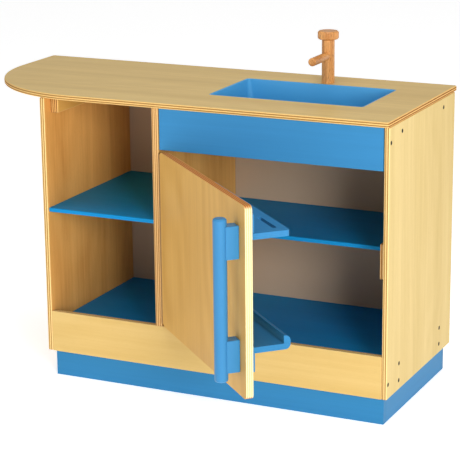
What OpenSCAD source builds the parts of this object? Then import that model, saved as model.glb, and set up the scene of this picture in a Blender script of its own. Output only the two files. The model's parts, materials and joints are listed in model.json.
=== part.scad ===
// Toy kitchen: plywood cabinet with an open bay, a cupboard bay with a swinging
// door, a moulded sink and a turned wooden tap. Millimetres, +Z up, front is -Y.
// The origin is on the floor under the middle of the cabinet.

/* [Overall] */
// Width over the two side panels
outer_width = 800; // [760:5:900]
// Depth of the side panels
outer_depth = 400; // [370:5:470]
// Height of the worktop's upper face
overall_height = 642; // [600:1:720]
// Height of the plinth that shows under the cabinet
plinth_height = 60; // [40:1:80]

/* [Boards] */
// Thickness of the two side panels
side_board = 12; // [12:1:18]
// Thickness of the divider
divider_board = 15; // [12:1:18]
// Thickness of the door
door_board = 15; // [12:1:18]
// Thickness of the worktop
worktop_board = 12; // [12:1:18]
// Thickness of the two cabinet shelves
shelf_board = 9; // [8:1:12]
// Thickness of the floor board
floor_board_thickness = 12; // [9:1:18]
// Thickness of the back panel
back_board = 6; // [4:1:8]
// Thickness of the plinth boards
plinth_board = 15; // [12:1:18]
// Thickness of the front rail
rail_board = 15; // [12:1:18]
// Thickness of the fascia
fascia_board = 12; // [9:1:15]
// Thickness of the fixing battens
batten_thickness = 20; // [16:1:24]
// Height of the fixing battens
batten_height = 36; // [30:1:40]

/* [Worktop] */
// How far the worktop runs past the left side panel
worktop_left_overhang = 206; // [120:2:260]
// How far the worktop runs past the front
worktop_front_overhang = 8; // [4:1:20]
// How far the worktop runs past the back
worktop_back_overhang = 12; // [4:1:20]
// Radius of the large curve at the worktop's front left corner
worktop_curve = 280; // [150:5:300]
// Radius of the worktop's small corners
worktop_corner = 5; // [3:1:12]

/* [Cabinet layout] */
// Distance from the left side panel's outer face to the divider
divider_left = 270; // [240:5:300]
// Height of the fascia
fascia_height = 90; // [80:1:95]
// How far the fascia lies behind the front
fascia_setback = 2; // [1:0.5:4]
// Gap at each end of the fascia
fascia_end_gap = 2; // [1:0.5:4]
// Height of the floor board's upper face
floor_top = 124; // [118:1:130]
// Height of the front rail's upper edge
rail_top = 152; // [144:1:160]
// Height of the left shelf's upper face
left_shelf_top = 386; // [330:2:440]
// How far the left shelf lies behind the front
left_shelf_setback = 6; // [2:1:60]
// Height of the cupboard shelf's upper face
right_shelf_top = 350; // [300:2:420]
// How far the cupboard shelf lies behind the front
right_shelf_setback = 118; // [112:2:180]
// Distance from the front to the back panel
back_panel_inset = 18; // [14:1:24]
// Depth of the shelf housings
housing_depth = 5; // [4:1:6]
// Slack of a board in its housing
housing_slack = 0.2; // [0.1:0.1:0.5]
// Distance from the plinth's back face to the back of the side panels
plinth_back_inset = 8; // [4:1:12]
// How far the top battens start behind the front
batten_setback = 24; // [20:1:40]

/* [Door] */
// Gap between the door's free edge and the right side panel
door_edge_gap = 5; // [4:1:12]
// Gap above and below the door
door_gap = 3; // [2:0.5:5]
// Radius of the door's corners
door_corner = 10; // [4:1:16]
// How far the door stands open at rest, in degrees
door_rest_angle = 44; // [0:1:90]

/* [Hinge] */
// Diameter of the hinge barrel
barrel_diameter = 6; // [5:0.5:7]
// Diameter of the hinge pin
hinge_pin_diameter = 2.5; // [2:0.5:3]
// Thickness of a hinge leaf
leaf_thickness = 1; // [0.8:0.1:1.4]
// Width of a hinge leaf from the axis
leaf_width = 13; // [11:0.5:13]
// Distance from the front to the hinge axis
hinge_axis_inset = 1.5; // [1:0.5:2]
// Number of knuckles
knuckle_count = 7; // [5:2:9]
// Slack between knuckles
knuckle_gap = 0.4; // [0.2:0.1:0.8]
// Radial clearance of the pin in the door leaf
hinge_clearance = 0.05; // [0.03:0.01:0.1]

/* [Handle] */
// Diameter of the handle bar
handle_diameter = 27; // [22:1:30]
// Length of the handle bar
handle_length = 324; // [260:2:360]
// Height of the handle bar's lower end
handle_bottom = 184; // [170:1:200]
// Distance from the door's face to the handle bar's axis
handle_standoff = 34; // [32:1:42]
// Distance from the door's free edge to the handle bar's axis
handle_edge_distance = 43; // [36:1:60]
// Height of a handle block
handle_block_height = 65; // [50:1:80]
// Height of the upper handle block's middle
upper_block_middle = 460; // [440:1:466]
// Height of the lower handle block's middle
lower_block_middle = 235; // [230:1:260]

/* [Door shelf and tray] */
// Distance from the door's hinge edge to the shelf's and the tray's near end
door_shelf_hinge_distance = 57; // [50:1:130]
// Distance from the door's free edge to the shelf's end
door_shelf_inset = 20; // [18:1:40]
// How far the door shelf and the tray stand out from the door
door_shelf_depth = 85; // [70:1:90]
// Thickness of the door shelf and of the tray's floor
door_shelf_board = 12; // [9:1:15]
// Height of the door shelf's upper face
door_shelf_top = 477; // [450:1:490]
// Height of the tray floor's upper face
tray_floor_top = 252; // [246:1:300]
// Height of the tray lip above its floor
tray_lip_height = 16; // [12:1:24]
// Thickness of the tray lip
tray_lip_board = 14; // [12:1:16]
// Height of the two wall strips
wall_strip_height = 38; // [28:1:42]
// Thickness of the two wall strips
wall_strip_board = 12; // [9:1:15]
// Length of a utensil slot
slot_length = 84; // [60:2:100]
// Width of a utensil slot
slot_width = 9; // [6:1:12]
// Distance from the shelf's outer edge to the slots' middle
slot_edge_distance = 22; // [16:1:30]

/* [Door stop] */
// Width of the door stop
stop_width = 12; // [11:1:14]
// Height of the door stop
stop_height = 74; // [50:1:90]
// Height of the door stop's middle
stop_middle = 349; // [320:1:400]
// Depth of the door stop
stop_depth = 32; // [20:1:50]

/* [Sink] */
// Distance from the sink cut-out to the right side panel
sink_from_right = 89; // [80:1:120]
// Depth of the sink cut-out from front to back
sink_depth = 202; // [170:2:206]
// Distance from the front to the sink cut-out
sink_front = 113; // [105:1:120]
// Distance from the divider to the sink cut-out
sink_from_divider = 62; // [50:1:70]
// Radius of the sink's corners
sink_corner = 8; // [6:1:16]
// How deep the sink is inside
sink_inside_depth = 84; // [60:1:90]
// Wall thickness of the sink
sink_wall = 3; // [2:0.5:4]
// Width of the sink's fixing flange under the worktop
sink_flange = 8; // [7:1:8]
// Gap between the sink and the worktop's edge
sink_gap = 0.3; // [0.2:0.1:1]

/* [Tap] */
// Diameter of the tap post
post_diameter = 28; // [24:1:28]
// Height of the tap post above the worktop
post_height = 96; // [80:1:110]
// Diameter of the post's tenon in the worktop
tenon_diameter = 14; // [12:1:16]
// Radial clearance of the turning wooden parts
tap_clearance = 0.08; // [0.05:0.01:0.1]
// Diameter of the knob
knob_diameter = 46; // [40:1:54]
// Height of the knob
knob_height = 18; // [14:1:26]
// Number of hollows around the knob
knob_hollows = 16; // [12:1:18]
// Diameter of the knob's peg in the post
knob_peg_diameter = 12; // [10:1:14]
// Length of the knob's peg
knob_peg_length = 18; // [14:1:22]
// Diameter of the spout
spout_diameter = 18; // [15:1:19]
// Distance from the post's axis to the spout's end
spout_reach = 92; // [70:1:110]
// Height of the spout's axis above the worktop
spout_height = 60; // [50:1:62]
// Distance from the sink's back edge to the tap's axis
tap_behind_sink = 18; // [18:1:26]
// Distance from the sink's right edge to the tap's axis
tap_from_sink_right = 167; // [120:1:200]

/* [Screws] */
// Shank diameter of the wood screws
screw_shank = 4; // [3.5:0.1:4.5]
// Head diameter of the wood screws
screw_head = 9; // [7:0.5:9]
// Length of the screws in the side panels
panel_screw_length = 26; // [22:1:26]
// Length of the screws through the battens
batten_screw_length = 29; // [26:1:30]
// Distance from the front to the front row of panel screws
screw_row_front = 71; // [60:1:90]
// Distance from the back to the back row of panel screws
screw_row_from_back = 75; // [65:1:100]
// Distance from a batten's front end to its first screw
batten_screw_start = 86; // [60:1:110]
// Distance from a batten's back end to its last screw
batten_screw_end = 68; // [50:1:90]
// Radial slack of a screw in its hole
screw_slack = 0.05; // [0.03:0.01:0.1]

/* [Hidden] */
$fn = 48;
eps = 0.01;
worktop_under = overall_height - worktop_board;
inner_left = side_board;
inner_right = outer_width - side_board;
divider_right = divider_left + divider_board;
back_face = outer_depth - back_panel_inset;
floor_under = floor_top - floor_board_thickness;
plinth_back_face = outer_depth - plinth_back_inset;
fascia_bottom = worktop_under - fascia_height;
fascia_back = fascia_setback + fascia_board;
batten_under = worktop_under - batten_height;
batten_middle = worktop_under - batten_height / 2;
batten_end = back_face - batten_setback;
screw_row_back = outer_depth - screw_row_from_back;
batten_screw_front = batten_setback + batten_screw_start;
batten_screw_back = batten_end - batten_screw_end;

axis_x = divider_right + barrel_diameter / 2;
axis_y = hinge_axis_inset;
door_left = divider_right + barrel_diameter;
door_right = inner_right - door_edge_gap;
door_width = door_right - door_left;
door_bottom = rail_top + door_gap;
door_top = fascia_bottom - door_gap;
door_height = door_top - door_bottom;

hinge_inset = 5;
hinge_bottom = door_bottom + hinge_inset;
hinge_top = door_top - hinge_inset;
knuckle_pitch = (hinge_top - hinge_bottom) / knuckle_count;
pin_head = 1.5;
leaf_start = barrel_diameter / 2 + knuckle_gap;
hinge_screw_y = axis_y + leaf_width - 4.5;
hinge_screw_shank = 3;
hinge_screw_head = 5;
hinge_screw_length = 12;
hinge_screw_span = hinge_top - hinge_bottom - 60;
hinge_screw_count = 5;

handle_x = door_right - handle_edge_distance;
handle_y = -handle_standoff;
handle_screw_length = door_board + handle_standoff + 5;

door_shelf_right = door_right - door_shelf_inset;
door_shelf_left = door_left + door_shelf_hinge_distance;
door_shelf_length = door_shelf_right - door_shelf_left;
door_shelf_front = door_board + door_shelf_depth;
strip_screw_length = wall_strip_board + door_board - 3;

stop_left = inner_right - stop_width;
stop_front = door_board + 0.5;
stop_screw_length = stop_width + side_board - 4;

sink_left = divider_right + sink_from_divider;
sink_right = inner_right - sink_from_right;
sink_width = sink_right - sink_left;
sink_back = sink_front + sink_depth;
sink_under = overall_height - sink_inside_depth - sink_wall;
sink_screw_length = sink_wall + 8;

tap_x = sink_right - tap_from_sink_right;
tap_y = sink_back + tap_behind_sink;
post_top = overall_height + post_height;
knob_seat = 0.3;
hollow_radius = 7;
hollow_depth = 0.8;
spout_socket = 10;
washer_diameter = 19;
washer_thickness = 1.5;
washer_gap = 0.3;
tap_screw_length = 32;

// ---------- placing ----------

// Cabinet coordinates start at the front left foot of the side panels.
module in_cabinet() {
    translate([-outer_width / 2, -outer_depth / 2, 0]) children();
}

// Pieces on the door are drawn shut and then swung open about the hinge axis.
module on_door() {
    in_cabinet()
        translate([axis_x, axis_y, 0])
            rotate([0, 0, -door_rest_angle])
                translate([-axis_x, -axis_y, 0]) children();
}

// A box from one corner to the opposite one.
module board(from, to) {
    translate(from) cube(to - from);
}

// ---------- shapes used more than once ----------

module rounded_rectangle(size, r) {
    translate([r, 0]) square([size.x - 2 * r, size.y]);
    translate([0, r]) square([size.x, size.y - 2 * r]);
    for (x = [r, size.x - r], y = [r, size.y - r])
        translate([x, y]) circle(r = r);
}

// Countersunk screw: head face at z = 0, point down.
module countersunk_screw(shank, head, length) {
    sink = (head - shank) / 2;
    difference() {
        union() {
            translate([0, 0, -sink]) cylinder(d1 = shank, d2 = head, h = sink);
            translate([0, 0, -length + shank / 2])
                cylinder(d = shank, h = length - sink - shank / 2 + eps);
            translate([0, 0, -length]) cylinder(d1 = 0.6, d2 = shank, h = shank / 2);
        }
        for (turn = [0, 90])
            rotate([0, 0, turn])
                translate([-head * 0.3, -head * 0.05, -sink * 0.6])
                    cube([head * 0.6, head * 0.1, sink]);
    }
}

// The hole that goes with it.
module screw_hole(shank, head, length) {
    sink = (head - shank) / 2;
    translate([0, 0, -sink])
        cylinder(d1 = shank + 2 * screw_slack, d2 = head + 2 * screw_slack, h = sink);
    translate([0, 0, -length - 0.5]) cylinder(d = shank + 2 * screw_slack, h = length + 0.5);
    cylinder(d = head + 2 * screw_slack, h = 1);
}

// ---------- where the fixings sit ----------

module at_panel_screws(with_fascia) {
    rows = [screw_row_front, screw_row_back];
    for (y = rows, z = [batten_middle - 2, floor_top - floor_board_thickness / 2,
                        floor_under - 31])
        translate([0, y, z]) children();
    translate([0, rail_board / 2, rail_top - 60]) children();
    if (with_fascia)
        translate([0, fascia_setback + fascia_board / 2, fascia_bottom + 58]) children();
}

module at_right_panel_screws() {
    translate([outer_width, 0, 0])
        at_panel_screws(true) rotate([0, 90, 0]) children();
}

module at_left_panel_screws() {
    at_panel_screws(false) rotate([0, -90, 0]) children();
}

module at_worktop_screws() {
    for (x = [inner_left + batten_thickness / 2, divider_right + batten_thickness / 2,
              inner_right - batten_thickness / 2], y = [batten_screw_front, batten_screw_back])
        translate([x, y, batten_under]) rotate([180, 0, 0]) children();
    for (x = [sink_left + 40, sink_right - 40])
        translate([x, fascia_back + batten_thickness / 2, batten_under])
            rotate([180, 0, 0]) children();
}

module at_batten_screws() {
    for (y = [batten_screw_front + 40, batten_screw_back - 40])
        translate([divider_right + batten_thickness, y, batten_middle])
            rotate([0, 90, 0]) children();
    for (x = [sink_left + 70, sink_right - 70])
        translate([x, fascia_back + batten_thickness, batten_middle])
            rotate([-90, 0, 0]) children();
}

module at_sink_screws() {
    flange_middle = sink_flange / 2;
    for (x = [sink_left + 60, sink_right - 60],
         y = [sink_front - flange_middle, sink_back + flange_middle])
        translate([x, y, worktop_under - sink_wall]) rotate([180, 0, 0]) children();
    for (x = [sink_left - flange_middle, sink_right + flange_middle])
        translate([x, sink_front + sink_depth / 2, worktop_under - sink_wall])
            rotate([180, 0, 0]) children();
}

module at_handle_screws() {
    for (z = [upper_block_middle, lower_block_middle])
        translate([handle_x, door_board, z]) rotate([-90, 0, 0]) children();
}

module at_strip_screws() {
    for (x = [door_shelf_left + 30, (door_shelf_left + door_shelf_right) / 2,
              door_shelf_right - 30],
         z = [door_shelf_top + wall_strip_height / 2,
              tray_floor_top - door_shelf_board - wall_strip_height / 2])
        translate([x, door_board + wall_strip_board, z]) rotate([-90, 0, 0]) children();
}

module at_hinge_screws() {
    for (i = [0 : hinge_screw_count - 1])
        translate([0, hinge_screw_y,
                   hinge_bottom + 30 + i * hinge_screw_span / (hinge_screw_count - 1)])
            children();
}

module at_fixed_leaf_screws() {
    translate([divider_right + leaf_thickness, 0, 0])
        at_hinge_screws() rotate([0, 90, 0]) children();
}

module at_door_leaf_screws() {
    translate([door_left - leaf_thickness, 0, 0])
        at_hinge_screws() rotate([0, -90, 0]) children();
}

module at_stop_screws() {
    for (z = [stop_middle - stop_height / 4, stop_middle + stop_height / 4])
        translate([stop_left, stop_front + stop_depth / 2, z])
            rotate([0, -90, 0]) children();
}

// ---------- carcass ----------

// Outline of the worktop seen from above.
module worktop_outline() {
    left = -worktop_left_overhang;
    front = -worktop_front_overhang;
    back = outer_depth + worktop_back_overhang;
    right = outer_width;
    difference() {
        translate([left, front])
            rounded_rectangle([right - left, back - front], worktop_corner);
        difference() {
            translate([left - 1, front - 1]) square(worktop_curve + 1);
            translate([left + worktop_curve, front + worktop_curve])
                circle(r = worktop_curve);
        }
    }
}

module sink_outline(grow) {
    translate([sink_left - grow, sink_front - grow])
        rounded_rectangle([sink_width + 2 * grow, sink_depth + 2 * grow],
                          sink_corner + grow);
}

module worktop() {
    color("burlywood") in_cabinet() difference() {
        translate([0, 0, worktop_under]) linear_extrude(worktop_board) worktop_outline();
        translate([0, 0, worktop_under - 1])
            linear_extrude(worktop_board + 2) sink_outline(0);
        translate([tap_x, tap_y, worktop_under - 1])
            cylinder(d = tenon_diameter + 2 * tap_clearance, h = worktop_board + 2);
        at_worktop_screws() screw_hole(screw_shank, screw_head, batten_height + 8);
        at_sink_screws()
            screw_hole(hinge_screw_shank, hinge_screw_head, sink_screw_length);
    }
}

// Housing for a shelf, open towards the back panel.
module shelf_housing(x, from_y, top) {
    board([x, from_y - housing_slack, top - shelf_board - housing_slack / 2],
          [x + housing_depth + eps, back_face, top + housing_slack / 2]);
}

module side_panel_blank() {
    board([0, 0, plinth_height], [side_board, outer_depth, worktop_under]);
}

module back_groove() {
    board([0, back_face - housing_slack / 2, floor_under - housing_slack],
          [side_board / 2 + eps, back_face + back_board + housing_slack / 2, worktop_under + 1]);
}

module left_side_panel() {
    color("burlywood") in_cabinet() difference() {
        side_panel_blank();
        translate([side_board / 2, 0, 0]) back_groove();
        shelf_housing(side_board - housing_depth, left_shelf_setback, left_shelf_top);
        at_left_panel_screws() screw_hole(screw_shank, screw_head, panel_screw_length);
    }
}

module right_side_panel() {
    color("burlywood") in_cabinet() difference() {
        translate([inner_right, 0, 0]) side_panel_blank();
        translate([inner_right - eps, 0, 0]) back_groove();
        shelf_housing(inner_right - eps, right_shelf_setback, right_shelf_top);
        at_right_panel_screws() screw_hole(screw_shank, screw_head, panel_screw_length);
        at_stop_screws()
            screw_hole(hinge_screw_shank, hinge_screw_head, stop_screw_length);
    }
}

module divider_panel() {
    color("burlywood") in_cabinet() difference() {
        board([divider_left, 0, floor_top], [divider_right, back_face, worktop_under]);
        board([divider_left - 1, -1, floor_top - 1],
              [divider_right + 1, rail_board, rail_top]);
        shelf_housing(divider_left - eps, left_shelf_setback, left_shelf_top);
        shelf_housing(divider_right - housing_depth, right_shelf_setback, right_shelf_top);
        at_batten_screws() screw_hole(screw_shank, screw_head, batten_screw_length);
        at_fixed_leaf_screws()
            screw_hole(hinge_screw_shank, hinge_screw_head, hinge_screw_length);
    }
}

module back_panel() {
    color("gainsboro") in_cabinet()
        board([side_board / 2 + housing_slack, back_face, floor_under],
              [outer_width - side_board / 2 - housing_slack, back_face + back_board,
               worktop_under]);
}

module floor_board() {
    color("steelblue") in_cabinet() difference() {
        board([inner_left, rail_board, floor_under], [inner_right, back_face, floor_top]);
        at_left_panel_screws() screw_hole(screw_shank, screw_head, panel_screw_length);
        at_right_panel_screws() screw_hole(screw_shank, screw_head, panel_screw_length);
    }
}

module front_rail() {
    color("burlywood") in_cabinet() difference() {
        board([inner_left, 0, plinth_height], [inner_right, rail_board, rail_top]);
        at_left_panel_screws() screw_hole(screw_shank, screw_head, panel_screw_length);
        at_right_panel_screws() screw_hole(screw_shank, screw_head, panel_screw_length);
    }
}

module fascia_panel() {
    color("steelblue") in_cabinet() difference() {
        board([divider_right + fascia_end_gap, fascia_setback, fascia_bottom],
              [inner_right - fascia_end_gap, fascia_back, worktop_under]);
        at_right_panel_screws() screw_hole(screw_shank, screw_head, panel_screw_length);
        at_batten_screws() screw_hole(screw_shank, screw_head, batten_screw_length);
    }
}

module left_shelf() {
    color("steelblue") in_cabinet()
        board([inner_left - housing_depth + housing_slack, left_shelf_setback,
               left_shelf_top - shelf_board],
              [divider_left + housing_depth - housing_slack, back_face, left_shelf_top]);
}

module cupboard_shelf() {
    color("steelblue") in_cabinet()
        board([divider_right - housing_depth + housing_slack, right_shelf_setback,
               right_shelf_top - shelf_board],
              [inner_right + housing_depth - housing_slack, back_face, right_shelf_top]);
}

// ---------- plinth ----------

module plinth_front() {
    color("steelblue") in_cabinet()
        board([inner_left, rail_board, 0], [inner_right, rail_board + plinth_board, floor_under]);
}

module plinth_back() {
    color("steelblue") in_cabinet()
        board([inner_left, plinth_back_face - plinth_board, 0],
              [inner_right, plinth_back_face, floor_under]);
}

module plinth_side_blank(x) {
    board([x, rail_board + plinth_board, 0],
          [x + plinth_board, plinth_back_face - plinth_board, floor_under]);
}

module plinth_left() {
    color("steelblue") in_cabinet() difference() {
        plinth_side_blank(inner_left);
        at_left_panel_screws() screw_hole(screw_shank, screw_head, panel_screw_length);
    }
}

module plinth_right() {
    color("steelblue") in_cabinet() difference() {
        plinth_side_blank(inner_right - plinth_board);
        at_right_panel_screws() screw_hole(screw_shank, screw_head, panel_screw_length);
    }
}

module plinth_stretcher() {
    color("steelblue") in_cabinet()
        plinth_side_blank(outer_width / 2 - plinth_board / 2);
}

// ---------- battens ----------

module batten_blank(x) {
    board([x, batten_setback, batten_under], [x + batten_thickness, batten_end, worktop_under]);
}

module left_batten() {
    color("burlywood") in_cabinet() difference() {
        batten_blank(inner_left);
        at_left_panel_screws() screw_hole(screw_shank, screw_head, panel_screw_length);
        at_worktop_screws() screw_hole(screw_shank, screw_head, batten_height + 8);
    }
}

module divider_batten() {
    color("burlywood") in_cabinet() difference() {
        batten_blank(divider_right);
        at_batten_screws() screw_hole(screw_shank, screw_head, batten_screw_length);
        at_worktop_screws() screw_hole(screw_shank, screw_head, batten_height + 8);
    }
}

module right_batten() {
    color("burlywood") in_cabinet() difference() {
        batten_blank(inner_right - batten_thickness);
        at_right_panel_screws() screw_hole(screw_shank, screw_head, panel_screw_length);
        at_worktop_screws() screw_hole(screw_shank, screw_head, batten_height + 8);
    }
}

module fascia_batten() {
    color("burlywood") in_cabinet() difference() {
        board([sink_left, fascia_back, batten_under],
              [sink_right, fascia_back + batten_thickness, worktop_under]);
        at_batten_screws() screw_hole(screw_shank, screw_head, batten_screw_length);
        at_worktop_screws() screw_hole(screw_shank, screw_head, batten_height + 8);
    }
}

// ---------- carcass screws ----------

module left_panel_screws() {
    color("dimgray") in_cabinet() at_left_panel_screws()
        countersunk_screw(screw_shank, screw_head, panel_screw_length);
}

module right_panel_screws() {
    color("dimgray") in_cabinet() at_right_panel_screws()
        countersunk_screw(screw_shank, screw_head, panel_screw_length);
}

module batten_screws() {
    color("dimgray") in_cabinet() at_batten_screws()
        countersunk_screw(screw_shank, screw_head, batten_screw_length);
}

module worktop_screws() {
    color("dimgray") in_cabinet() at_worktop_screws()
        countersunk_screw(screw_shank, screw_head, batten_height + 8);
}

// ---------- sink ----------

module sink_basin() {
    color("steelblue") in_cabinet() difference() {
        union() {
            translate([0, 0, sink_under])
                linear_extrude(overall_height - sink_under) sink_outline(-sink_gap);
            translate([0, 0, worktop_under - sink_wall])
                linear_extrude(sink_wall) sink_outline(sink_flange);
        }
        translate([0, 0, sink_under + sink_wall])
            linear_extrude(sink_inside_depth + 1) sink_outline(-sink_gap - sink_wall);
        at_sink_screws()
            screw_hole(hinge_screw_shank, hinge_screw_head, sink_screw_length);
    }
}

module sink_screws() {
    color("dimgray") in_cabinet() at_sink_screws()
        countersunk_screw(hinge_screw_shank, hinge_screw_head, sink_screw_length);
}

// ---------- tap ----------

module tap_post() {
    color("peru") in_cabinet() translate([tap_x, tap_y, 0]) difference() {
        union() {
            translate([0, 0, overall_height + knob_seat])
                rotate_extrude() polygon([
                    [0, 0], [post_diameter / 2, 0], [post_diameter / 2, post_height - 2],
                    [post_diameter / 2 - 2, post_height - knob_seat], [0, post_height - knob_seat]]);
            translate([0, 0, worktop_under - washer_gap])
                cylinder(d = tenon_diameter, h = worktop_board + washer_gap + knob_seat + eps);
        }
        translate([0, 0, post_top - knob_peg_length - 1])
            cylinder(d = knob_peg_diameter + 2 * tap_clearance, h = knob_peg_length + 2);
        translate([0, 0, overall_height + spout_height]) rotate([90, 0, 0])
            translate([0, 0, post_diameter / 2 - spout_socket])
                cylinder(d = spout_diameter, h = spout_socket + 1);
        translate([0, 0, worktop_under - 1])
            cylinder(d = screw_shank, h = tap_screw_length - 1);
    }
}

// Plain dowel with a softened end, pressed into the post.
module tap_spout() {
    stem = spout_reach - post_diameter / 2 + spout_socket;
    color("peru") in_cabinet()
        translate([tap_x, tap_y, overall_height + spout_height]) rotate([90, 0, 0])
            translate([0, 0, post_diameter / 2 - spout_socket])
                rotate_extrude() polygon([
                    [0, 0], [spout_diameter / 2, 0], [spout_diameter / 2, stem - 1.5],
                    [spout_diameter / 2 - 1.5, stem], [0, stem]]);
}

module tap_knob() {
    r = knob_diameter / 2;
    color("peru") in_cabinet() translate([tap_x, tap_y, post_top + knob_seat]) difference() {
        union() {
            rotate_extrude() polygon([
                [0, 0], [r - 2.5, 0], [r, 2.5], [r, knob_height - 3],
                [r - 3, knob_height], [0, knob_height]]);
            translate([0, 0, -knob_peg_length])
                cylinder(d = knob_peg_diameter, h = knob_peg_length + eps);
        }
        for (i = [0 : knob_hollows - 1])
            rotate([0, 0, (i + 0.5) * 360 / knob_hollows])
                translate([r + hollow_radius - hollow_depth, 0, -1])
                    cylinder(r = hollow_radius, h = knob_height + 2);
    }
}

module tap_washer() {
    color("silver") in_cabinet()
        translate([tap_x, tap_y, worktop_under - washer_gap - washer_thickness])
            difference() {
                cylinder(d = washer_diameter, h = washer_thickness);
                translate([0, 0, -1])
                    cylinder(d = screw_shank + 2 * screw_slack, h = washer_thickness + 2);
            }
}

// Round-headed screw that holds the washer against the tenon.
module tap_screw() {
    color("dimgray") in_cabinet()
        translate([tap_x, tap_y, worktop_under - washer_gap - washer_thickness])
            difference() {
                union() {
                    translate([0, 0, -2]) cylinder(d = screw_head, h = 2);
                    cylinder(d = screw_shank, h = tap_screw_length - 4);
                }
                translate([-3, -0.5, -3]) cube([6, 1, 2]);
            }
}

// ---------- door ----------

module door_panel() {
    color("burlywood") on_door() difference() {
        translate([door_left, door_board, door_bottom]) rotate([90, 0, 0])
            linear_extrude(door_board)
                rounded_rectangle([door_width, door_height], door_corner);
        at_handle_screws() screw_hole(screw_shank, screw_head, handle_screw_length);
        at_strip_screws()
            screw_hole(hinge_screw_shank, hinge_screw_head, strip_screw_length);
        at_door_leaf_screws()
            screw_hole(hinge_screw_shank, hinge_screw_head, hinge_screw_length);
    }
}

module handle_bar() {
    r = handle_diameter / 2;
    soft = 5;
    color("steelblue") on_door() difference() {
        translate([handle_x, handle_y, handle_bottom]) rotate_extrude() union() {
            translate([0, soft]) square([r, handle_length - 2 * soft]);
            square([r - soft, handle_length]);
            intersection() {
                union() {
                    translate([r - soft, soft]) circle(r = soft);
                    translate([r - soft, handle_length - soft]) circle(r = soft);
                }
                square([r, handle_length]);
            }
        }
        at_handle_screws() screw_hole(screw_shank, screw_head, handle_screw_length);
    }
}

// Block between the door and the bar, hollowed to the bar's roundness.
module handle_block(middle) {
    color("steelblue") on_door() difference() {
        board([handle_x - handle_diameter / 2, handle_y, middle - handle_block_height / 2],
              [handle_x + handle_diameter / 2, 0, middle + handle_block_height / 2]);
        translate([handle_x, handle_y, middle - handle_block_height])
            cylinder(d = handle_diameter, h = 2 * handle_block_height);
        for (side = [-1, 1])
            translate([handle_x + side * handle_diameter / 2, handle_y, middle])
                cube([3, 14, 2 * handle_block_height], center = true);
        at_handle_screws() screw_hole(screw_shank, screw_head, handle_screw_length);
    }
}

module handle_block_upper() {
    handle_block(upper_block_middle);
}

module handle_block_lower() {
    handle_block(lower_block_middle);
}

module handle_screws() {
    color("dimgray") on_door() at_handle_screws()
        countersunk_screw(screw_shank, screw_head, handle_screw_length);
}

// ---------- door shelf and tray ----------

// Shelf with utensil slots along its outer edge.
module door_shelf() {
    slot_middle = door_shelf_front - slot_edge_distance;
    slot_step = (door_shelf_length - 2 * 24 - slot_length) / 2;
    color("steelblue") on_door() translate([0, 0, door_shelf_top - door_shelf_board])
        linear_extrude(door_shelf_board) difference() {
            union() {
                translate([door_shelf_left, door_board])
                    square([door_shelf_length, door_shelf_depth - 8]);
                translate([door_shelf_left, door_board + 8])
                    rounded_rectangle([door_shelf_length, door_shelf_depth - 8], 8);
            }
            for (i = [0 : 2])
                translate([door_shelf_right - 24 - slot_length - i * slot_step,
                           slot_middle - slot_width / 2])
                    rounded_rectangle([slot_length, slot_width], slot_width / 2 - 0.5);
        }
}

module wall_strip(z) {
    board([door_shelf_left, door_board, z],
          [door_shelf_right, door_board + wall_strip_board, z + wall_strip_height]);
}

module door_shelf_strip() {
    color("steelblue") on_door() difference() {
        wall_strip(door_shelf_top);
        at_strip_screws()
            screw_hole(hinge_screw_shank, hinge_screw_head, strip_screw_length);
    }
}

// Tray: floor and a lip with a rounded outer side, open at both ends.
module tray_profile() {
    bottom = tray_floor_top - door_shelf_board;
    height = door_shelf_board + tray_lip_height;
    lip = door_shelf_front - tray_lip_board;
    r = tray_lip_board - 3;
    translate([door_board, bottom]) square([lip - door_board, door_shelf_board]);
    translate([lip, bottom]) square([tray_lip_board - r, height]);
    translate([lip, bottom + r]) square([tray_lip_board, height - 2 * r]);
    intersection() {
        translate([lip, bottom]) square([tray_lip_board, height]);
        for (z = [bottom + r, bottom + height - r])
            translate([door_shelf_front - r, z]) circle(r = r);
    }
}

module door_tray() {
    color("steelblue") on_door()
        translate([door_shelf_left, 0, 0]) rotate([90, 0, 90])
            linear_extrude(door_shelf_length) tray_profile();
}

module door_tray_strip() {
    color("steelblue") on_door() difference() {
        wall_strip(tray_floor_top - door_shelf_board - wall_strip_height);
        at_strip_screws()
            screw_hole(hinge_screw_shank, hinge_screw_head, strip_screw_length);
    }
}

module strip_screws() {
    color("dimgray") on_door() at_strip_screws()
        countersunk_screw(hinge_screw_shank, hinge_screw_head, strip_screw_length);
}

// ---------- hinge ----------

// One leaf seen from the side it is screwed to; odd or even knuckles.
module leaf(first, face_x, bore) {
    difference() {
        union() {
            board([face_x, axis_y + leaf_start, hinge_bottom],
                  [face_x + leaf_thickness, axis_y + leaf_width, hinge_top]);
            for (i = [first : 2 : knuckle_count - 1]) {
                from = hinge_bottom + i * knuckle_pitch + (i == 0 ? 0 : knuckle_gap / 2);
                to = hinge_bottom + (i + 1) * knuckle_pitch
                     - (i == knuckle_count - 1 ? 0 : knuckle_gap / 2);
                translate([axis_x, axis_y, from])
                    cylinder(d = barrel_diameter, h = to - from);
                board([face_x, axis_y, from],
                      [face_x + leaf_thickness, axis_y + leaf_start + eps, to]);
            }
        }
        translate([axis_x, axis_y, hinge_bottom - 1])
            cylinder(d = bore, h = hinge_top - hinge_bottom + 2);
    }
}

module hinge_fixed_leaf() {
    color("darkgoldenrod") in_cabinet() difference() {
        leaf(0, divider_right, hinge_pin_diameter);
        at_fixed_leaf_screws()
            screw_hole(hinge_screw_shank, hinge_screw_head, hinge_screw_length);
    }
}

module hinge_door_leaf() {
    color("darkgoldenrod") on_door() difference() {
        leaf(1, door_left - leaf_thickness, hinge_pin_diameter + 2 * hinge_clearance);
        at_door_leaf_screws()
            screw_hole(hinge_screw_shank, hinge_screw_head, hinge_screw_length);
    }
}

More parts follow.
